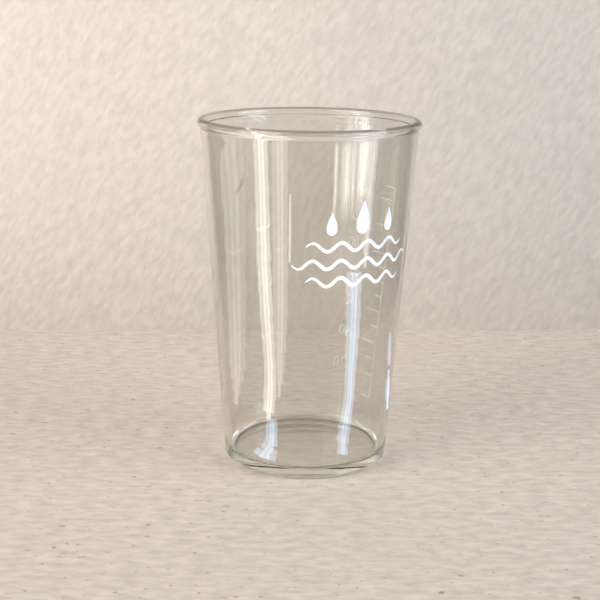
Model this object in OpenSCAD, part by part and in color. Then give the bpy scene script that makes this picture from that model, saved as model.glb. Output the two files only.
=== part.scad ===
// Graduated spa cure glass: a blown, tapered tumbler with a fire-polished bead
// at its rim and white enamel fired on its outside. The enamel is a volume scale
// at the back right and a plain water ornament at the front right.
// Millimetres, +Z up. The origin is the centre of the standing ring, and the
// viewer stands on the -Y side. Angles on plan run anticlockwise from +X.

/* [Glass] */
// Overall height
height = 102; // [85:1:125]
// Outside diameter of the wall's cone at the standing plane
foot_d = 49; // [40:0.5:59]
// Outside diameter of the wall's cone at the rim plane
mouth_d = 63.7; // [60:0.1:77]
// Wall thickness at the foot
wall_foot = 1.9; // [1.4:0.1:2.6]
// Wall thickness at the rim
wall_rim = 1.7; // [1.3:0.1:2.2]
// Thickness of the floor over the standing ring
floor_t = 2.6; // [2:0.1:6]
// Radius inside, where the floor turns up into the wall
corner_r = 2.2; // [1:0.1:4]
// Radius of the heel, outside
heel_r = 1.3; // [0.6:0.1:2]
// Width of the standing ring
ring_w = 3.4; // [2:0.1:6]
// Depth of the hollow under the floor, inside the standing ring
punt_depth = 0.5; // [0.2:0.05:1]

/* [Rim bead] */
// Thickness of the bead
bead_d = 2.6; // [2.2:0.1:3.4]
// How far the bead stands out from the wall, outside
bead_proud = 0.65; // [0.3:0.05:1]
// Radius that blends the bead into the wall
blend_r = 0.9; // [0.4:0.1:1.6]

/* [Scale] */
// Volume from one mark to the next, in millilitres
step_ml = 10; // [5:5:10]
// Number of marks
mark_count = 15; // [8:1:15]
// Volume that the glass already holds at the printed scale's zero, in millilitres
zero_ml = 10; // [0:1:12]
// How far the lowest mark is printed under its step
low_mark_drop = 1.8; // [0:0.1:2.5]
// Plan angle of the scale line at its middle
scale_at = 26; // [10:1:60]
// Lean of the scale line from the wall's own slope, its top towards the viewer
scale_lean = 4.5; // [0:0.5:6]
// Length of the long marks, on every second step
long_mark = 7.8; // [6:0.1:10]
// Length of the short marks
short_mark = 4.3; // [3:0.1:6]
// Length of the top mark
top_mark = 6.3; // [4:0.1:8]
// Height of a mark's stroke
mark_w = 0.6; // [0.4:0.05:1]
// Width of the scale line's stroke
line_w = 0.55; // [0.4:0.05:1]

/* [Ornament] */
// Plan angle of the ornament's middle
ornament_at = -60; // [-80:1:-50]
// Depth of the ornament's middle wave under the rim
ornament_drop = 37; // [30:1:50]
// Length of the middle wave, round the wall
wave_len = 40; // [30:1:44]
// Length of one crest and trough
wave_pitch = 8; // [6:0.5:12]
// Height of a crest over the wave's centre line
wave_rise = 1.2; // [0.6:0.1:1.6]
// Thickest stroke of a wave
wave_w = 1.1; // [0.6:0.1:1.4]
// Spacing from one wave to the next
wave_gap = 5; // [4.5:0.1:7]
// Width of the middle drop
drop_w = 5.6; // [4:0.1:8]
// Height of the middle drop
drop_h = 9.6; // [6:0.1:12]
// Size of the side drops beside the middle one
side_drop = 0.7; // [0.5:0.05:1]
// Spacing from one drop to the next, round the wall
drop_gap = 9; // [7:0.5:12]

/* [Enamel] */
// Thickness of the fired enamel
enamel_t = 0.1; // [0.05:0.05:0.2]

/* [Hidden] */
wave_names = ["wave_low", "wave_middle", "wave_high"];
drop_names = ["drop_left", "drop_middle", "drop_right"];
function mark_name(i) = str("mark_", i * step_ml, "_ml");
mark_names = [for (i = [1:mark_count]) mark_name(i)];

glass_colour = [0.80, 0.86, 0.84, 0.45];
enamel_colour = [0.95, 0.95, 0.94];
round_fn = 240;
arc_steps = 8;
bead_steps = 28;

// The wall's two cones, outside and inside
foot_r = foot_d / 2;
wall_slope = (mouth_d - foot_d) / 2 / height;
bore_foot_r = foot_r - wall_foot;
bore_slope = (mouth_d / 2 - wall_rim - bore_foot_r) / height;
wall_angle = atan(wall_slope);
bore_angle = atan(bore_slope);
function wall_r(z) = foot_r + wall_slope * z;
function bore_r(z) = bore_foot_r + bore_slope * z;

// The bead's section is a circle round this point
bead_r = bead_d / 2;
bead_z = height - bead_r;
bead_at = [wall_r(bead_z) + bead_proud - bead_r, bead_z];

// Heel and inside corner: arc centres, tangent to a flat and to a cone
heel_at = [wall_r(0) - heel_r * (1 / cos(wall_angle) - tan(wall_angle)), heel_r];
corner_z = floor_t + corner_r;
corner_at = [bore_r(corner_z) - corner_r / cos(bore_angle), corner_z];

// Underside: a shallow dish inside the standing ring
ring_in_r = heel_at.x - ring_w;
dish_r = (ring_in_r * ring_in_r + punt_depth * punt_depth) / (2 * punt_depth);
dish_angle = asin(ring_in_r / dish_r);

// Points of an arc from angle a to angle b
function arc(centre, r, a, b, steps) =
    [for (i = [0:steps]) centre + r * [cos(a + (b - a) * i / steps), sin(a + (b - a) * i / steps)]];

// The blend under the bead touches the bead and one face of the wall.
// side is 1 outside and -1 inside; face_r and lean give that face's cone.
function blend_at(face_r, lean, side) =
    let (up = [sin(lean), cos(lean)])
    let (out = side * [cos(lean), -sin(lean)])
    let (from_foot = bead_at - [face_r, 0])
    let (reach = bead_r + blend_r)
    let (off = blend_r - from_foot * out)
    [face_r, 0] + (from_foot * up - sqrt(reach * reach - off * off)) * up + blend_r * out;
function direction(from, to) = atan2(to.y - from.y, to.x - from.x);
blend_out_at = blend_at(foot_r, wall_angle, 1);
blend_in_at = blend_at(bore_foot_r, bore_angle, -1);
bead_from = direction(bead_at, blend_out_at);
bead_to = direction(bead_at, blend_in_at) + 360;
bead_turn = (bead_to - 90) / (bead_steps / 2);

// Half section of the glass, from the middle of the dish, up the outside,
// over the bead and down the inside to the middle of the floor
glass_section = concat(
    arc([0, punt_depth - dish_r], dish_r, 90, 90 - dish_angle, arc_steps),
    arc(heel_at, heel_r, -90, -wall_angle, arc_steps),
    arc(blend_out_at, blend_r, 180 - wall_angle, bead_from + 180, arc_steps),
    arc(bead_at, bead_r, bead_from, 90, bead_steps / 2),
    arc(bead_at, bead_r, 90 + bead_turn, bead_to, bead_steps / 2 - 1),
    arc(blend_in_at, blend_r, bead_to - 180, -bore_angle, arc_steps),
    arc(corner_at, corner_r, -bore_angle, -90, arc_steps),
    [[0, floor_t]]
);

// Height at which the glass holds a volume: the cavity is a cone that stands on
// the floor, less the ring of glass that fills the inside corner
corner_loss = (1 - PI / 4) * corner_r * corner_r * 2 * PI * (bore_r(floor_t) - 0.22 * corner_r);
function level(ml) =
    let (filled = 3 * bore_slope * (1000 * ml + corner_loss) / PI)
    (pow(pow(bore_r(floor_t), 3) + filled, 1 / 3) - bore_foot_r) / bore_slope;
function mark_z(i) = level(zero_ml + i * step_ml) - (i == 1 ? low_mark_drop : 0);
function mark_len(i) = i == mark_count ? top_mark : i % 2 == 0 ? long_mark : short_mark;

// The scale line leans, so its plan angle changes with height
scale_mid_z = (mark_z(1) + mark_z(mark_count)) / 2;
function line_at(z) = scale_at - asin((z - scale_mid_z) * tan(scale_lean) / wall_r(z));
function round_wall(len, z) = len / wall_r(z) * 180 / PI;

ornament_z = height - ornament_drop;
ornament_r = wall_r(ornament_z);
drops_z = ornament_z + wave_gap + wave_rise + wave_w + drop_h / 2 + 1;
cut_depth = mouth_d;

// Section of an enamel skin that lies on the wall between two heights
module skin_section(low, high) {
    polygon([
        [wall_r(low), low],
        [wall_r(low) + enamel_t, low],
        [wall_r(high) + enamel_t, high],
        [wall_r(high), high]
    ]);
}

// An outline seen square on from outside, laid onto the wall in enamel.
// The outline's x is a distance round the wall, and its y a height over z.
module enamel_shape(at, z, reach_down, reach_up, outline) {
    seen = [for (p = outline) [ornament_r * sin(p.x / ornament_r * 180 / PI), p.y]];
    color(enamel_colour)
        intersection() {
            rotate_extrude($fn = round_fn)
                skin_section(z - reach_down, z + reach_up);
            rotate([0, 0, at])
                translate([0, 0, z])
                    rotate([90, 0, 90])
                        linear_extrude(cut_depth)
                            polygon(seen);
        }
}

module glass_body() {
    color(glass_colour)
        rotate_extrude($fn = round_fn)
            polygon(glass_section);
}

// The upright plate that cuts the scale line out of the skin
module line_plate() {
    rotate([0, 0, scale_at])
        translate([0, 0, scale_mid_z])
            rotate([scale_lean, 0, 0])
                translate([0, -line_w / 2, -height])
                    cube([cut_depth, line_w, 2 * height]);
}

module scale_line() {
    color(enamel_colour)
        intersection() {
            rotate_extrude($fn = round_fn)
                skin_section(mark_z(1) - mark_w / 2, mark_z(mark_count) + mark_w / 2);
            line_plate();
        }
}

// One mark: a band of enamel that starts at the scale line's edge
module mark(i) {
    z = mark_z(i);
    color(enamel_colour)
        difference() {
            rotate([0, 0, line_at(z)])
                rotate_extrude(angle = round_wall(mark_len(i), z), $fn = round_fn)
                    skin_section(z - mark_w / 2, z + mark_w / 2);
            line_plate();
        }
}

// A wave's stroke swells from a point at each end
wave_steps = 8;
function wave_y(x) = wave_rise * sin(360 * x / wave_pitch);
function wave_tilt(x) = atan(wave_rise * 2 * PI / wave_pitch * cos(360 * x / wave_pitch));
function wave_half(x, len) = wave_w / 2 * sqrt(1 - pow(abs(2 * x / len), 4));
function wave_edge(x, len, side) =
    [x, wave_y(x)] + side * wave_half(x, len) * [-sin(wave_tilt(x)), cos(wave_tilt(x))];

module wave(i) {
    len = wave_len - wave_pitch * abs(i - 1);
    n = round(len / wave_pitch * wave_steps);
    top = [for (k = [0:n]) wave_edge(len * (k / n - 0.5), len, 1)];
    bottom = [for (k = [n - 1:-1:1]) wave_edge(len * (k / n - 0.5), len, -1)];
    reach = wave_rise + wave_w;
    enamel_shape(ornament_at, ornament_z + (i - 1) * wave_gap, reach, reach, concat(top, bottom));
}

// A drop is round at its foot and pointed at its head
drop_steps = 28;
module water_drop(i) {
    size = i == 1 ? 1 : side_drop;
    outline = [for (k = [0:drop_steps - 1])
        let (t = 360 * k / drop_steps)
        size * [drop_w / 2 * 1.1 * sin(t) * pow(sin(t / 2), 1.4), drop_h / 2 * cos(t)]];
    shift = round_wall((i - 1) * drop_gap, ornament_z);
    z = drops_z - (1 - size) * drop_h / 2;
    enamel_shape(ornament_at + shift, z, drop_h, drop_h, outline);
}

glass_body();
scale_line();
for (i = [1:mark_count]) mark(i);
for (i = [0:2]) wave(i);
for (i = [0:2]) water_drop(i);
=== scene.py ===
"""A graduated spa cure glass on a stone table before a plaster wall, in window light.

Everything stands in the CAD model's own frame: +Z up, the viewer on -Y, the origin at the centre
of the standing ring. Sizes of the glass are in millimetres and become metres in mesh_piece().
Plan angles run anticlockwise from +X.
"""
import math

import bpy
from mathutils import Matrix, Quaternion, Vector, noise


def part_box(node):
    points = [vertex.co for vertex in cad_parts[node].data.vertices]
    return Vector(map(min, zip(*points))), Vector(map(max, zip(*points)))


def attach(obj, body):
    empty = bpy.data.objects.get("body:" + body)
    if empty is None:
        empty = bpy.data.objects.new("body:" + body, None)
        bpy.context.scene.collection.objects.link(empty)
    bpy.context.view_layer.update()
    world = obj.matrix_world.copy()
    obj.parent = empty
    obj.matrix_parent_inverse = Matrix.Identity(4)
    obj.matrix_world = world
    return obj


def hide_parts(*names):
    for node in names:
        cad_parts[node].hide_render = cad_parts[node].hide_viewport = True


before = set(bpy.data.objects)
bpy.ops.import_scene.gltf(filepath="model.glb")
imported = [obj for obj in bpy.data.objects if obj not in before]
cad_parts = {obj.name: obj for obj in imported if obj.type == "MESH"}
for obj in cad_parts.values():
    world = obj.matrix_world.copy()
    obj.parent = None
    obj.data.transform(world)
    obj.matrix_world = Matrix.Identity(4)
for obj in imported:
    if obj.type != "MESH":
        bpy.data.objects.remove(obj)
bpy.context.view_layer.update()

MM = 0.001
BODY = "root"

# The glass's section, in millimetres
GLASS_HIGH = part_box("glass_body")[1] / MM
HEIGHT = GLASS_HIGH.z
FOOT_R = 24.5
MOUTH_R = 31.85
WALL_FOOT = 1.9
WALL_RIM = 1.7
FLOOR_T = 2.6
CORNER_R = 2.2
HEEL_R = 1.3
RING_W = 3.4
PUNT_DEPTH = 0.5
BEAD_R = 1.3
BLEND_R = 0.9
BORE_FOOT_R = FOOT_R - WALL_FOOT
WALL_SLOPE = (MOUTH_R - FOOT_R) / HEIGHT
BORE_SLOPE = (MOUTH_R - WALL_RIM - BORE_FOOT_R) / HEIGHT
WALL_LEAN = math.atan(WALL_SLOPE)
BORE_LEAN = math.atan(BORE_SLOPE)
BEAD_AT = Vector((GLASS_HIGH.x - BEAD_R, HEIGHT - BEAD_R))

# How finely the glass is turned, and how far its inside strays from true
TURN_STEPS = 384
WALL_ROWS = 48
ARC_ROWS = 10
BEAD_ROWS = 28
RIPPLE = 0.09
RIPPLE_FINENESS = 2.6
RIPPLE_LENGTH = 34
STREAK = 0.008
STREAK_FINENESS = 17
STREAK_LENGTH = 75

# The glass's colour: a grey tint on the wall is painted shade that darkens the view through it, the
# foot is clear, and a dark tint at the lip is painted shade for the rim's dark lines
UNTINTED_GLASS = (0.98, 0.985, 0.975)
SHADE_TINTED_GLASS = (0.87, 0.87, 0.85)
# Painted shade: the dark tint at the lip paints the dark lines along the rim
LIP_SHADE_GLASS = (0.42, 0.39, 0.35)
SHADE_TINT_FROM = 2
SHADE_TINT_TO = 9
LIP_SHADE_T = 0.4

# The enamel
ENAMEL_T = 0.09
ENAMEL_GAP = 0.005
STROKE_ROWS = 8
STROKE_TIP = 0.03
MARK_ROWS = 12
LINE_ROWS = 60
LINE_END_NEAR = 0.02
END_ROUNDING = (0.55, 0.88)
END_LENGTH = 0.18
UNEVENNESS = 0.05
SCALE_LEAN = math.radians(4.5)
MARK_NAMES = [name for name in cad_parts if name.startswith("mark_")]
NUMERAL_HEIGHT = 3.5
NUMERAL_SHARE_OF_FONT = 0.73
NUMERAL_WIDTH = 0.9
NUMERAL_T = 0.7 * ENAMEL_T
NUMERAL_GAP = 5.3
NUMERAL_RISE = 1.6
ORNAMENT_AT = math.radians(-60)
WAVE_PITCH = 8
WAVE_ROWS_PER_MM = 5
WAVE_RISE = 1.2
WAVE_W = 1.1
WAVE_LEN = {"wave_low": 32, "wave_middle": 40, "wave_high": 32}
DROP_W = 5.6
DROP_TALL = 9.6
DROP_ROWS = 40
DROP_POINT = 1.4
DROP_FULLNESS = 1.1

# The camera, fitted to the photograph, whose frame is square
FRAME_SIDE = 600
FOCAL_PIXELS = 1250
SENSOR = 36
CAMERA_AT = Vector((-2.10, -362.47, 142.00)) * MM
CAMERA_PITCH = math.radians(14.600)
CAMERA_ROLL = math.radians(0.739)

# The table and the wall behind it, in metres; both grow darker with the distance to the side.
# The joint between them lies level in the picture, on one row of the photograph's frame.
FLOOR_DROP = 0.02 * MM
FLOOR_REACH = 4.0
WALL_REACH = 1.5
WALL_HEIGHT = 1.5
FADE_FROM = 0.125
FADE_TO = 0.21
FADE_FRONT = -0.16
FADE_BACK = -0.06
JOINT_ROW = 330
TABLE_TONES = ((0.55, 0.475, 0.415), (0.78, 0.68, 0.60))
PIT_TONE = (0.58, 0.48, 0.39)
PITTED = (0.36, 0.28)
WALL_TONES = ((0.51, 0.455, 0.41), (0.61, 0.545, 0.49))
WALL_SHADE = (0.16, 0.15, 0.14)
TABLE_SHADE = (0.34, 0.33, 0.32)

# The room round the table
ROOM_LOW = (0.30, 0.285, 0.27)
ROOM_HIGH = (0.12, 0.12, 0.12)
LOW_UP_TO = 0.15
HIGH_FROM = 0.75
WARM = (1.0, 0.96, 0.91)
PLAIN = (1.0, 0.99, 0.98)
PALE_BLUE = (0.80, 0.90, 1.0)
BLUE = (0.52, 0.73, 1.0)

# The lights: windows round the table, low panes, and gleams, which are strips of light on the table
WINDOW_DISTANCE = 0.9
PANE_ELEVATIONS = (0.2, 8)
GLEAM_RISE = 0.5 * MM
GLEAM_PARTS = 7
GLEAM_LAP = 0.08
PANE_END = 0.3
STREAKS = (
    (0.0, 0.0),
    (0.12, 0.52),
    (0.22, 0.45),
    (0.34, 1.0),
    (0.48, 0.65),
    (0.6, 0.9),
    (0.72, 0.41),
    (0.85, 0.48),
    (1.0, 0.0),
)


def wall_r(z):
    """Radius of the wall's outside at a height."""
    return FOOT_R + WALL_SLOPE * z


def bore_r(z):
    """Radius of the wall's inside at a height."""
    return BORE_FOOT_R + BORE_SLOPE * z


# Building blocks


def mesh_piece(name, points, faces, material, scale=MM):
    """A smooth-shaded mesh object; the scale turns the unit of its points into metres."""
    mesh = bpy.data.meshes.new(name)
    mesh.from_pydata([Vector(p) * scale for p in points], [], faces)
    mesh.validate()
    mesh.polygons.foreach_set("use_smooth", [True] * len(mesh.polygons))
    mesh.materials.append(material)
    piece = bpy.data.objects.new(name, mesh)
    bpy.context.scene.collection.objects.link(piece)
    return piece


def hand_over(piece, slot, *nodes):
    """Puts a piece on the glass's body and hides the nodes that it stands for; the slot is not used.
    """
    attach(piece, BODY)
    if nodes:
        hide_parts(*nodes)


def arc(centre, radius, start, end, steps):
    """Points of an arc in the section plane; the angles are radians."""
    turns = [start + (end - start) * k / steps for k in range(steps + 1)]
    return [centre + radius * Vector((math.cos(a), math.sin(a))) for a in turns]


def between(start, end, steps):
    """Points strictly between two points."""
    return [start.lerp(end, k / steps) for k in range(1, steps)]


# The glass


def blend_centre(bead_at, face_r, lean, side):
    """Centre of the blend that touches the bead and one face of the wall."""
    up = Vector((math.sin(lean), math.cos(lean)))
    out = side * Vector((math.cos(lean), -math.sin(lean)))
    foot = Vector((face_r, 0))
    reach = BEAD_R + BLEND_R
    off = BLEND_R - (bead_at - foot).dot(out)
    return foot + ((bead_at - foot).dot(up) - math.sqrt(reach**2 - off**2)) * up + BLEND_R * out


def direction(start, end):
    """Angle of the line from one section point to another."""
    return math.atan2(end.y - start.y, end.x - start.x)


def outside_section():
    """Section of the outside, from the middle of the dish to the top of the bead."""
    heel_x = wall_r(0) - HEEL_R * (1 / math.cos(WALL_LEAN) - math.tan(WALL_LEAN))
    ring_r = heel_x - RING_W
    dish_r = (ring_r**2 + PUNT_DEPTH**2) / (2 * PUNT_DEPTH)
    dish_half = math.asin(ring_r / dish_r)
    quarter = math.pi / 2
    dish = arc(Vector((0, PUNT_DEPTH - dish_r)), dish_r, quarter, quarter - dish_half, 3 * ARC_ROWS)
    heel = arc(Vector((heel_x, HEEL_R)), HEEL_R, -quarter, -WALL_LEAN, ARC_ROWS)
    blend_at = blend_centre(BEAD_AT, FOOT_R, WALL_LEAN, 1)
    bead_from = direction(BEAD_AT, blend_at)
    blend = arc(blend_at, BLEND_R, math.pi - WALL_LEAN, bead_from + math.pi, ARC_ROWS)
    bead = arc(BEAD_AT, BEAD_R, bead_from, quarter, BEAD_ROWS)
    ring = between(dish[-1], heel[0], 4)
    wall = between(heel[-1], blend[0], WALL_ROWS)
    return dish + ring + heel + wall + blend + bead[1:]


def inside_section():
    """Section of the inside, from the top of the bead to the middle of the floor."""
    quarter = math.pi / 2
    blend_at = blend_centre(BEAD_AT, BORE_FOOT_R, BORE_LEAN, -1)
    bead_to = direction(BEAD_AT, blend_at) + 2 * math.pi
    bead = arc(BEAD_AT, BEAD_R, quarter, bead_to, BEAD_ROWS)
    blend = arc(blend_at, BLEND_R, bead_to - math.pi, -BORE_LEAN, ARC_ROWS)
    corner_z = FLOOR_T + CORNER_R
    corner_x = bore_r(corner_z) - CORNER_R / math.cos(BORE_LEAN)
    corner = arc(Vector((corner_x, corner_z)), CORNER_R, -BORE_LEAN, -quarter, ARC_ROWS)
    middle = Vector((0, FLOOR_T))
    wall = between(blend[-1], corner[0], WALL_ROWS)
    floor = between(corner[-1], middle, 3 * ARC_ROWS)
    return bead[1:] + blend[1:] + wall + corner + floor + [middle]


def stray(angle, z):
    """How far the inside strays outwards: slow waves of blown glass and fine drawn streaks."""
    ring = Vector((math.cos(angle), math.sin(angle), 0))
    slow = noise.noise(ring * RIPPLE_FINENESS + Vector((7.1, 2.3, z / RIPPLE_LENGTH)))
    fine = noise.noise(ring * STREAK_FINENESS + Vector((1.7, 5.9, z / STREAK_LENGTH)))
    return RIPPLE * slow + STREAK * fine


def turned(section, first_inside):
    """Points and faces of a section turned round the axis; its ends lie on the axis."""
    points = [(0, 0, section[0].y)]
    for row, at in enumerate(section[1:-1], start=1):
        for k in range(TURN_STEPS):
            angle = 2 * math.pi * k / TURN_STEPS
            radius = at.x
            if row >= first_inside and FLOOR_T + CORNER_R < at.y < HEIGHT - 3 * BEAD_R:
                radius += stray(angle, at.y)
            points.append((radius * math.cos(angle), radius * math.sin(angle), at.y))
    points.append((0, 0, section[-1].y))
    faces = []
    for k in range(TURN_STEPS):
        after = (k + 1) % TURN_STEPS
        faces.append((0, 1 + after, 1 + k))
        for row in range(len(section) - 3):
            low = 1 + row * TURN_STEPS
            high = low + TURN_STEPS
            faces.append((low + k, low + after, high + after, high + k))
        last = 1 + (len(section) - 3) * TURN_STEPS
        faces.append((last + k, last + after, len(points) - 1))
    return points, faces


def make_glass(material):
    """The tumbler: one closed body of glass."""
    outside = outside_section()
    section = outside + inside_section()
    points, faces = turned(section, len(outside))
    glass = mesh_piece("glass", points, faces, material)
    hand_over(glass, "glass", "glass_body")


# The enamel


def on_wall(angle, z, lift):
    """A point that stands a little off the wall's outside."""
    radius = wall_r(z) + lift
    return (radius * math.cos(angle), radius * math.sin(angle), z)


def across_stroke():
    """Section of a stroke: pairs of share of half width and lift, up one side and back below."""
    turns = [math.pi * k / STROKE_ROWS for k in range(STROKE_ROWS + 1)]
    top = [(-math.cos(t), math.sin(t) ** 0.5 * ENAMEL_T) for t in turns]
    return top + [(-share, ENAMEL_GAP) for share, _ in top]


def stroke(name, path, half_widths, material):
    """A raised enamel stroke along a path of plan angles and heights on the wall."""
    shape = across_stroke()
    points = []
    for k, ((angle, z), half) in enumerate(zip(path, half_widths)):
        before = path[max(k - 1, 0)]
        after = path[min(k + 1, len(path) - 1)]
        radius = wall_r(z)
        along = Vector(((after[0] - before[0]) * radius, after[1] - before[1])).normalized()
        swell = min(1, half / (ENAMEL_T * 2))
        for share, lift in shape:
            side = share * half
            turn = angle - side * along.y / radius
            height = z + side * along.x
            points.append(on_wall(turn, height, lift * swell if lift > 0 else lift))
    count = len(shape)
    faces = []
    for row in range(len(path) - 1):
        for k in range(count):
            after = (k + 1) % count
            low = row * count
            faces.append((low + after, low + k, low + count + k, low + count + after))
    faces.append(tuple(range(count)))
    faces.append(tuple(reversed(range((len(path) - 1) * count, len(path) * count))))
    return mesh_piece(name, points, faces, material)


def rounded_ends(count, half):
    """Half widths of a plain stroke whose corners have run a little in firing."""
    seeds = [Vector((k * 0.9, half * 31, 0)) for k in range(count)]
    widths = [half * (1 + UNEVENNESS * noise.noise(seed)) for seed in seeds]
    for k, share in enumerate(END_ROUNDING):
        widths[k] *= share
        widths[-1 - k] *= share
    return widths


def spaced(length, steps):
    """Shares of a stroke's length, with a close one at each end for the rounding."""
    end = END_LENGTH / max(length, 1)
    inner = [end + (1 - 2 * end) * k / steps for k in range(1, steps)]
    return [0, end] + inner + [1 - end, 1]


def node_span(name):
    """Plan angles and heights between which an enamel node lies: first and last angle, low, high."""
    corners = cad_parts[name].data.vertices
    angles = [math.atan2(v.co.y, v.co.x) for v in corners]
    heights = [v.co.z / MM for v in corners]
    return min(angles), max(angles), min(heights), max(heights)


def make_mark(name, material):
    """One mark of the scale, level, from the line's edge to its own end."""
    first, last, low, high = node_span(name)
    z = (low + high) / 2
    length = (last - first) * wall_r(z)
    shares = spaced(length, MARK_ROWS)
    path = [(first + (last - first) * share, z) for share in shares]
    piece = stroke("print_" + name, path, rounded_ends(len(path), (high - low) / 2), material)
    hand_over(piece, "enamel", name)
    return last, z


def make_scale_line(material):
    """The leaning line that the marks start from."""
    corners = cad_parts["scale_line"].data.vertices
    _, _, low, high = node_span("scale_line")
    ends = []
    for level in (low, high):
        near = [v.co for v in corners if abs(v.co.z / MM - level) < LINE_END_NEAR]
        angles = [math.atan2(c.y, c.x) for c in near]
        ends.append((min(angles) + max(angles)) / 2)
        half = (max(angles) - min(angles)) * wall_r(level) / 2
    shares = spaced(high - low, LINE_ROWS)
    path = [(ends[0] + (ends[1] - ends[0]) * share, low + (high - low) * share) for share in shares]
    piece = stroke("print_scale_line", path, rounded_ends(len(path), half), material)
    hand_over(piece, "enamel", "scale_line")


def make_numeral(text, first, z, material):
    """A number that follows its mark, reading from the mark outwards, laid on the wall."""
    curve = bpy.data.curves.new("numeral", "FONT")
    curve.body = text
    curve.size = NUMERAL_HEIGHT / NUMERAL_SHARE_OF_FONT
    curve.space_character = 1.02
    curve.resolution_u = 5
    curve.extrude = 0.5
    source = bpy.data.objects.new("numeral", curve)
    flat = bpy.data.meshes.new_from_object(source)
    low = z + NUMERAL_RISE - NUMERAL_HEIGHT / 2
    points = []
    for vertex in flat.vertices:
        height = low + vertex.co.y
        along = vertex.co.x * NUMERAL_WIDTH - vertex.co.y * math.tan(SCALE_LEAN)
        lift = NUMERAL_T if vertex.co.z > 0 else ENAMEL_GAP
        points.append(on_wall(first + (NUMERAL_GAP + along) / wall_r(height), height, lift))
    faces = [tuple(face.vertices) for face in flat.polygons]
    piece = mesh_piece("numeral_" + text, points, faces, material)
    piece.data.polygons.foreach_set("use_smooth", [False] * len(faces))
    bpy.data.objects.remove(source)
    bpy.data.meshes.remove(flat)
    hand_over(piece, "enamel")


def make_scale(material):
    """The line, its marks, and a number beside each long mark."""
    make_scale_line(material)
    for name in MARK_NAMES:
        volume = int(name.split("_")[1])
        end, z = make_mark(name, material)
        if volume % 20 == 0:
            make_numeral(str(volume), end, z, material)


def make_wave(name, material):
    """A level wave whose stroke swells from a point at each end."""
    _, _, low, high = node_span(name)
    middle = (low + high) / 2
    length = WAVE_LEN[name]
    radius = wall_r(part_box("wave_middle")[0].z / MM)
    steps = round(length * WAVE_ROWS_PER_MM)
    path = []
    half_widths = []
    for k in range(steps + 1):
        x = length * (k / steps - 0.5)
        rise = WAVE_RISE * math.sin(2 * math.pi * x / WAVE_PITCH)
        path.append((ORNAMENT_AT + x / radius, middle + rise))
        half_widths.append(max(STROKE_TIP, WAVE_W / 2 * math.sqrt(1 - abs(2 * x / length) ** 4)))
    piece = stroke("print_" + name, path, half_widths, material)
    hand_over(piece, "enamel", name)


def make_drop(name, material):
    """A drop, round at its foot and pointed at its head."""
    first, last, low, high = node_span(name)
    middle = (low + high) / 2
    half_height = (high - low) / 2
    half_width = DROP_W / 2 * (high - low) / DROP_TALL
    path = []
    half_widths = []
    for k in range(DROP_ROWS + 1):
        turn = math.pi * (1 - k / DROP_ROWS)
        path.append(((first + last) / 2, middle + half_height * math.cos(turn)))
        taper = math.sin(turn) * math.sin(turn / 2) ** DROP_POINT
        half_widths.append(max(STROKE_TIP, DROP_FULLNESS * half_width * taper))
    piece = stroke("print_" + name, path, half_widths, material)
    hand_over(piece, "enamel", name)


# Materials


def new_material(name):
    """An empty node material: its node tree, output and principled shader."""
    material = bpy.data.materials.new(name)
    material.use_nodes = True
    tree = material.node_tree
    tree.nodes.clear()
    output = tree.nodes.new("ShaderNodeOutputMaterial")
    shader = tree.nodes.new("ShaderNodeBsdfPrincipled")
    tree.links.new(shader.outputs["BSDF"], output.inputs["Surface"])
    return material, tree, output, shader


def noise_node(tree, scale, detail, stretch=(1, 1, 1), tilt=0):
    """A noise texture in metres, drawn out along its axes and tilted in the upright plane."""
    where = tree.nodes.new("ShaderNodeTexCoord")
    mapping = tree.nodes.new("ShaderNodeMapping")
    mapping.vector_type = "TEXTURE"
    mapping.inputs["Rotation"].default_value = (0, tilt, 0)
    mapping.inputs["Scale"].default_value = stretch
    texture = tree.nodes.new("ShaderNodeTexNoise")
    texture.inputs["Scale"].default_value = scale
    texture.inputs["Detail"].default_value = detail
    tree.links.new(where.outputs["Object"], mapping.inputs["Vector"])
    tree.links.new(mapping.outputs["Vector"], texture.inputs["Vector"])
    return texture


def bump_from(tree, texture, shader, strength, distance):
    """Lets a texture raise and lower the surface."""
    bump = tree.nodes.new("ShaderNodeBump")
    bump.inputs["Strength"].default_value = strength
    bump.inputs["Distance"].default_value = distance
    tree.links.new(texture.outputs["Fac"], bump.inputs["Height"])
    tree.links.new(bump.outputs["Normal"], shader.inputs["Normal"])


def ramp_from(tree, texture, low, high, colours):
    """Turns a texture's values between low and high into colours."""
    ramp = tree.nodes.new("ShaderNodeValToRGB")
    ramp.color_ramp.elements[0].position = low
    ramp.color_ramp.elements[1].position = high
    for element, colour in zip(ramp.color_ramp.elements, colours):
        element.color = (*colour, 1)
    tree.links.new(texture.outputs["Fac"], ramp.inputs["Fac"])
    return ramp


def share_between(tree, value, start, end):
    """How far a value has come from start to end, held between nought and one."""
    share = tree.nodes.new("ShaderNodeMapRange")
    share.inputs["From Min"].default_value = start
    share.inputs["From Max"].default_value = end
    tree.links.new(value, share.inputs["Value"])
    return share.outputs["Result"]


def product(tree, one, other):
    """Multiplies two values."""
    node = tree.nodes.new("ShaderNodeMath")
    node.operation = "MULTIPLY"
    tree.links.new(one, node.inputs[0])
    tree.links.new(other, node.inputs[1])
    return node.outputs["Value"]


def by_height(tree, steps):
    """Blends from colour to colour up the glass; each step is a height in millimetres and a colour."""
    where = tree.nodes.new("ShaderNodeTexCoord")
    split = tree.nodes.new("ShaderNodeSeparateXYZ")
    ramp = tree.nodes.new("ShaderNodeValToRGB")
    elements = ramp.color_ramp.elements
    while len(elements) < len(steps):
        elements.new(0.5)
    for element, (height, colour) in zip(elements, steps):
        element.position = height / HEIGHT
        element.color = (*colour, 1)
    tree.links.new(where.outputs["Object"], split.inputs["Vector"])
    tree.links.new(share_between(tree, split.outputs["Z"], 0, HEIGHT * MM), ramp.inputs["Fac"])
    return ramp


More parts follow.
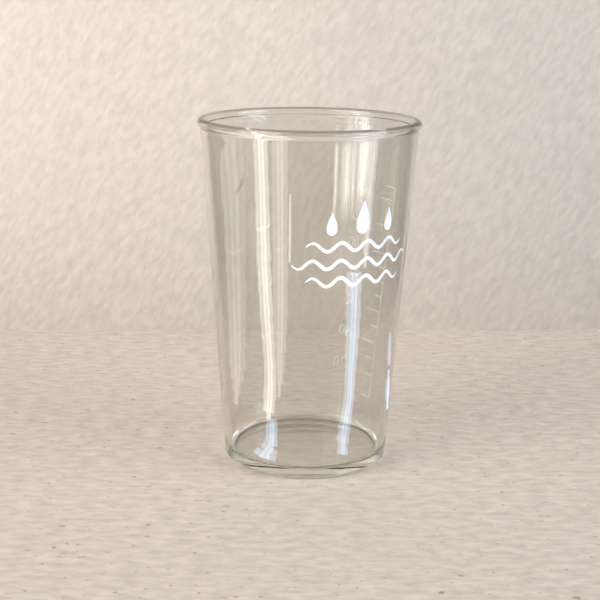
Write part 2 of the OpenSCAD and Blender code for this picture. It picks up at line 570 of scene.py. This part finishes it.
def glass_material():
    """Clear soda glass with a faint grey-green body and drawn streaks; its colour holds painted shade:
    a grey tint darkens the view through the wall, and a dark tint at the lip paints the rim's dark
    lines.
    """
    material, tree, output, shader = new_material("clear_glass")
    # Painted shade: the wall's grey tint darkens what is seen through it, the foot stays clear, and
    # the lip's dark tint paints the rim's dark lines.
    painted_shade_tint = by_height(
        tree,
        (
            (SHADE_TINT_FROM, UNTINTED_GLASS),
            (SHADE_TINT_TO, SHADE_TINTED_GLASS),
            (HEIGHT - LIP_SHADE_T - 0.1, SHADE_TINTED_GLASS),
            (HEIGHT - LIP_SHADE_T, LIP_SHADE_GLASS),
        ),
    )
    tree.links.new(painted_shade_tint.outputs["Color"], shader.inputs["Base Color"])
    shader.inputs["Roughness"].default_value = 0
    shader.inputs["IOR"].default_value = 1.52
    shader.inputs["Transmission Weight"].default_value = 1
    body = tree.nodes.new("ShaderNodeVolumeAbsorption")
    body.inputs["Color"].default_value = (0.57, 0.61, 0.43, 1)
    body.inputs["Density"].default_value = 11
    tree.links.new(body.outputs["Volume"], output.inputs["Volume"])
    streaks = noise_node(tree, scale=300, detail=2, stretch=(1, 1, 25))
    bump_from(tree, streaks, shader, strength=0.2, distance=0.04 * MM)
    return material


def enamel_material(name, colour, worn):
    """Fired enamel: satin, with thin and thick places."""
    material, tree, _, shader = new_material(name)
    patches = noise_node(tree, scale=900, detail=4)
    ramp = ramp_from(tree, patches, low=0.3, high=0.62, colours=(worn, colour))
    tree.links.new(ramp.outputs["Color"], shader.inputs["Base Color"])
    shader.inputs["Roughness"].default_value = 0.38
    shader.inputs["Subsurface Weight"].default_value = 1
    shader.inputs["Subsurface Radius"].default_value = (1, 1, 1)
    shader.inputs["Subsurface Scale"].default_value = 0.15 * MM
    grain = noise_node(tree, scale=5200, detail=2)
    bump_from(tree, grain, shader, strength=0.3, distance=0.03 * MM)
    return material


def darkened(tree, colour, share, tone):
    """Multiplies a colour by a tone, as far as a share between nought and one says."""
    mix = tree.nodes.new("ShaderNodeMix")
    mix.data_type = "RGBA"
    mix.blend_type = "MULTIPLY"
    a, b = [socket for socket in mix.inputs if socket.name in "AB" and socket.type == "RGBA"]
    b.default_value = (*tone, 1)
    tree.links.new(colour, a)
    tree.links.new(share, mix.inputs["Factor"])
    return [socket for socket in mix.outputs if socket.type == "RGBA"][0]


def faded(tree, colour, tone):
    """Darkens a colour to the left and right behind the glass, where the room's light fades."""
    where = tree.nodes.new("ShaderNodeTexCoord")
    split = tree.nodes.new("ShaderNodeSeparateXYZ")
    aside = tree.nodes.new("ShaderNodeMath")
    aside.operation = "ABSOLUTE"
    tree.links.new(where.outputs["Object"], split.inputs["Vector"])
    tree.links.new(split.outputs["X"], aside.inputs[0])
    far_aside = share_between(tree, aside.outputs["Value"], FADE_FROM, FADE_TO)
    behind = share_between(tree, split.outputs["Y"], FADE_FRONT, FADE_BACK)
    return darkened(tree, colour, product(tree, far_aside, behind), tone)


def table_material():
    """Pale beige stone: matt, softly banded, with small pits."""
    material, tree, _, shader = new_material("table_top")
    bands = noise_node(tree, scale=420, detail=12, stretch=(2.4, 1, 1))
    ramp = ramp_from(tree, bands, low=0.25, high=0.75, colours=TABLE_TONES)
    pits = noise_node(tree, scale=560, detail=4, stretch=(1.6, 1, 1))
    pitted = share_between(tree, pits.outputs["Fac"], *PITTED)
    colour = darkened(tree, ramp.outputs["Color"], pitted, PIT_TONE)
    tree.links.new(faded(tree, colour, TABLE_SHADE), shader.inputs["Base Color"])
    shader.inputs["Roughness"].default_value = 0.6
    bump_from(tree, bands, shader, strength=0.25, distance=1 * MM)
    return material


def wall_material():
    """Pale beige plaster, darker to the sides, where the room's light fades.

    Its back is clear, so that a view from behind looks through it.
    """
    material, tree, output, shader = new_material("plaster_wall")
    grain = noise_node(tree, scale=420, detail=5, stretch=(1, 1, 2), tilt=math.radians(32))
    ramp = ramp_from(tree, grain, low=0.3, high=0.7, colours=WALL_TONES)
    colour = faded(tree, ramp.outputs["Color"], WALL_SHADE)
    tree.links.new(colour, shader.inputs["Base Color"])
    shader.inputs["Roughness"].default_value = 0.85
    bump_from(tree, grain, shader, strength=0.6, distance=0.9 * MM)
    sides = tree.nodes.new("ShaderNodeNewGeometry")
    clear = tree.nodes.new("ShaderNodeBsdfTransparent")
    mix = tree.nodes.new("ShaderNodeMixShader")
    tree.links.new(sides.outputs["Backfacing"], mix.inputs["Fac"])
    tree.links.new(shader.outputs["BSDF"], mix.inputs[1])
    tree.links.new(clear.outputs["BSDF"], mix.inputs[2])
    tree.links.new(mix.outputs["Shader"], output.inputs["Surface"])
    return material


# Camera, room and light


def make_camera():
    """The photograph's camera: pitched down, and rolled a little."""
    data = bpy.data.cameras.new("camera")
    data.sensor_width = SENSOR
    data.lens = SENSOR * FOCAL_PIXELS / FRAME_SIDE
    data.clip_start = 0.01
    data.clip_end = 50
    camera = bpy.data.objects.new("camera", data)
    aim = Matrix.Rotation(math.pi / 2 - CAMERA_PITCH, 4, "X")
    camera.matrix_world = Matrix.Translation(CAMERA_AT) @ aim @ Matrix.Rotation(CAMERA_ROLL, 4, "Z")
    bpy.context.scene.collection.objects.link(camera)
    bpy.context.scene.camera = camera
    return camera


def floor_point(camera, column, row):
    """The point of the table that the camera sees at a place in the photograph's frame."""
    half = FRAME_SIDE / 2
    ray = Vector((column - half, half - row, -FOCAL_PIXELS))
    ray = camera.matrix_world.to_3x3() @ ray
    return camera.matrix_world.translation - ray * camera.matrix_world.translation.z / ray.z


def make_room(camera):
    """The table top, and the wall whose foot is level in the picture."""
    sides = ((-1, -1), (1, -1), (1, 1), (-1, 1))
    square = [(x * FLOOR_REACH, y * FLOOR_REACH, -FLOOR_DROP) for x, y in sides]
    floor = mesh_piece("table_top", square, [(0, 1, 2, 3)], table_material(), scale=1)
    left = floor_point(camera, 0, JOINT_ROW)
    right = floor_point(camera, FRAME_SIDE, JOINT_ROW)
    along = (right - left).normalized() * WALL_REACH
    middle = (left + right) / 2 - Vector((0, 0, FLOOR_DROP))
    up = Vector((0, 0, WALL_HEIGHT))
    corners = [middle - along, middle + along, middle + along + up, middle - along + up]
    wall = mesh_piece("plaster_wall", corners, [(0, 1, 2, 3)], wall_material(), scale=1)


def add_light(name, size, radiance, colour, place, turn):
    """A rectangular area light that the camera doesn't see, equally bright at any size."""
    data = bpy.data.lights.new(name, "AREA")
    data.shape = "RECTANGLE"
    data.size, data.size_y = size
    data.energy = radiance * math.pi * data.size * data.size_y
    data.color = colour
    light = bpy.data.objects.new(name, data)
    light.location = place
    light.rotation_mode = "QUATERNION"
    light.rotation_quaternion = turn
    light.visible_camera = False
    bpy.context.scene.collection.objects.link(light)
    return light


def make_window(name, azimuths, elevations, radiance, colour):
    """A light that faces the glass's foot and fills these angles of the room.

    Azimuths turn from the viewer to the right, and elevations rise from the table, in degrees.
    """
    azimuth, elevation = [math.radians(sum(pair) / 2) for pair in (azimuths, elevations)]
    half_turn, half_rise = [math.radians(pair[1] - pair[0]) / 2 for pair in (azimuths, elevations)]
    level = math.cos(elevation)
    width = 2 * WINDOW_DISTANCE * math.tan(half_turn) * level
    height = 2 * WINDOW_DISTANCE * math.tan(half_rise)
    away = Vector((math.sin(azimuth) * level, -math.cos(azimuth) * level, math.sin(elevation)))
    turn = away.to_track_quat("Z", "Y")
    return add_light(name, (width, height), radiance, colour, away * WINDOW_DISTANCE, turn)


def make_low_pane(name, azimuths, radiance):
    """A low warm window whose light is streaky and fades out on all sides."""
    pane = make_window(name, azimuths, PANE_ELEVATIONS, radiance, WARM)
    make_streaky(pane.data, soft_ends=True)


def make_gleam(name, edges, radiance, colour):
    """Lights that lie on the table and shine upwards, so that the glass mirrors them as one strip.

    Each edge is a distance from the glass's axis, in metres, and the two azimuths between which
    the strip lies there. A gleam doesn't show through the glass, only as a reflection on it.
    """
    count = 0
    for near, far in zip(edges, edges[1:]):
        parts = max(1, round(GLEAM_PARTS * math.log(far[0] / near[0])))
        for k in range(parts):
            low = Vector(near).lerp(Vector(far), k / parts)
            high = Vector(near).lerp(Vector(far), (k + 1) / parts)
            count += 1
            make_gleam_part(f"{name}_{count}", low, high, radiance, colour)


def make_gleam_part(name, near, far, radiance, colour):
    """One rectangle of a gleam, between two of its edges, and long enough to lap its neighbours."""
    ends = []
    for reach, first, last in (near, far):
        azimuth = math.radians((first + last) / 2)
        ends.append(Vector((math.sin(azimuth), -math.cos(azimuth), 0)) * reach)
    along = ends[1] - ends[0]
    width = sum(reach * math.radians(last - first) for reach, first, last in (near, far)) / 2
    place = (ends[0] + ends[1]) / 2 + Vector((0, 0, GLEAM_RISE))
    heading = Quaternion((0, 0, 1), math.atan2(along.y, along.x) - math.pi / 2)
    facing_up = Quaternion((1, 0, 0), math.pi)
    size = (width, along.length * (1 + GLEAM_LAP))
    gleam = add_light(name, size, radiance, colour, place, heading @ facing_up)
    gleam.visible_transmission = False
    make_streaky(gleam.data, soft_ends=False)


def make_streaky(data, soft_ends):
    """Lets an area light fade out at both sides of its width, with brighter streaks between.

    With soft ends it fades out along its height too.
    """
    data.use_nodes = True
    tree = data.node_tree
    tree.nodes.clear()
    output = tree.nodes.new("ShaderNodeOutputLight")
    emission = tree.nodes.new("ShaderNodeEmission")
    where = tree.nodes.new("ShaderNodeNewGeometry")
    split = tree.nodes.new("ShaderNodeSeparateXYZ")
    profile = tree.nodes.new("ShaderNodeFloatCurve")
    points = profile.mapping.curves[0].points
    points[0].location = STREAKS[0]
    points[1].location = STREAKS[-1]
    for streak in STREAKS[1:-1]:
        points.new(*streak)
    profile.mapping.update()
    tree.links.new(where.outputs["Parametric"], split.inputs["Vector"])
    tree.links.new(split.outputs["X"], profile.inputs["Value"])
    strength = profile.outputs["Value"]
    if soft_ends:
        for end, full in ((0, PANE_END), (1, 1 - PANE_END)):
            strength = product(tree, strength, share_between(tree, split.outputs["Y"], end, full))
    tree.links.new(strength, emission.inputs["Strength"])
    tree.links.new(emission.outputs["Emission"], output.inputs["Surface"])


def make_world():
    """The room's own light: beige round the horizon and darker overhead."""
    world = bpy.data.worlds.new("room")
    world.use_nodes = True
    tree = world.node_tree
    tree.nodes.clear()
    output = tree.nodes.new("ShaderNodeOutputWorld")
    pale = tree.nodes.new("ShaderNodeBackground")
    where = tree.nodes.new("ShaderNodeTexCoord")
    split = tree.nodes.new("ShaderNodeSeparateXYZ")
    ramp = tree.nodes.new("ShaderNodeValToRGB")
    ramp.color_ramp.elements[0].position = LOW_UP_TO
    ramp.color_ramp.elements[0].color = (*ROOM_LOW, 1)
    ramp.color_ramp.elements[1].position = HIGH_FROM
    ramp.color_ramp.elements[1].color = (*ROOM_HIGH, 1)
    tree.links.new(where.outputs["Generated"], split.inputs["Vector"])
    tree.links.new(split.outputs["Z"], ramp.inputs["Fac"])
    tree.links.new(ramp.outputs["Color"], pale.inputs["Color"])
    tree.links.new(pale.outputs["Background"], output.inputs["Surface"])
    bpy.context.scene.world = world


def make_windows():
    """A warm window on the left, a cooler one on the right, and a weak light from high in front."""
    make_window("main_window", (-80, -30), (12, 58), 3.4, WARM)
    make_window("bright_pane", (-60, -53), (18, 27), 22, WARM)
    make_window("side_window", (50, 90), (10, 55), 4.2, PALE_BLUE)
    make_window("front_fill", (-5, 45), (40, 62), 1.0, PLAIN)


def make_low_panes():
    """Low panes on the left, which the far side of the glass mirrors as fine streaks."""
    make_low_pane("main_low", (-76, -62), 13)
    make_low_pane("middle_pane", (-59, -55), 9)
    make_low_pane("narrow_pane", (-54, -40), 9)
    make_low_pane("slit_pane", (-36, -31), 10)
    make_low_pane("low_curtain", (-80, -30), 3)


def make_left_gleams():
    """The warm strips on the left of the glass, and the blue one over its floor."""
    strip = (
        (0.058, -41.5, -39),
        (0.063, -46, -36),
        (0.072, -49, -32),
        (0.094, -48, -34),
        (0.14, -53.5, -37.5),
        (0.2, -57, -40.5),
        (0.43, -59, -42.5),
    )
    band = ((0.075, -30.2, -28.8), (0.095, -36, -24), (0.14, -38, -21.5), (0.40, -38.6, -21.3))
    chink = ((0.2, -20.8, -18), (0.23, -20.8, -17.5), (0.29, -20.3, -18))
    over_floor = ((0.033, -51, -25), (0.037, -49, -26), (0.041, -41, -27), (0.058, -43, -30))
    make_gleam("strip", strip, 11.8, WARM)
    make_gleam("band", band, 5.9, WARM)
    make_gleam("chink", chink, 10, WARM)
    make_gleam("floor_strip", over_floor, 12, BLUE)


def make_right_gleams():
    """The blue strip on the right of the glass, and the warm one above it."""
    low = (
        (0.0365, 30, 40),
        (0.051, 33.5, 48),
        (0.072, 42.5, 55.5),
        (0.105, 44, 59.5),
        (0.141, 43, 62.5),
        (0.19, 42, 62),
    )
    high = (
        (0.200, 64.5, 66),
        (0.217, 61.9, 68.6),
        (0.254, 61.5, 70.7),
        (0.302, 60.8, 71),
        (0.38, 60.5, 73),
        (0.46, 59.8, 73.2),
    )
    make_gleam("cool", low, 12, BLUE)
    make_gleam("right_strip", high, 8, WARM)


def make_side_gleams():
    """A soft sheen on the far left of the glass, and two glints on its right edge."""
    sheen = (
        (0.062, -92, -87),
        (0.09, -104, -74),
        (0.16, -106, -72),
        (0.32, -106, -68),
        (0.45, -112, -70),
    )
    edge_low = ((0.052, 121, 124), (0.062, 113, 133), (0.08, 114, 130), (0.09, 121, 124))
    edge_high = ((0.095, 119, 124), (0.102, 116, 128), (0.12, 113, 126), (0.13, 118, 121))
    make_gleam("sheen", sheen, 3, WARM)
    make_gleam("edge_low", edge_low, 3, BLUE)
    make_gleam("edge_high", edge_high, 2.4, BLUE)


def let_light_through():
    """Sharp light reaches what lies under and behind the glass, through all of its faces."""
    cycles = bpy.context.scene.cycles
    cycles.blur_glossy = 0
    cycles.max_bounces = 32
    cycles.transmission_bounces = 32
    cycles.glossy_bounces = 16
    cycles.sample_clamp_indirect = 0


bpy.context.scene.view_settings.view_transform = "Standard"
let_light_through()
make_room(make_camera())
make_world()
make_windows()
make_low_panes()
make_left_gleams()
make_right_gleams()
make_side_gleams()
make_glass(glass_material())
make_scale(enamel_material("scale_enamel", (0.95, 0.94, 0.90), (0.84, 0.82, 0.77)))
PRINT = enamel_material("print_enamel", (0.86, 0.87, 0.90), (0.73, 0.74, 0.78))
for wave in WAVE_LEN:
    make_wave(wave, PRINT)
for drop in ("drop_left", "drop_middle", "drop_right"):
    make_drop(drop, PRINT)
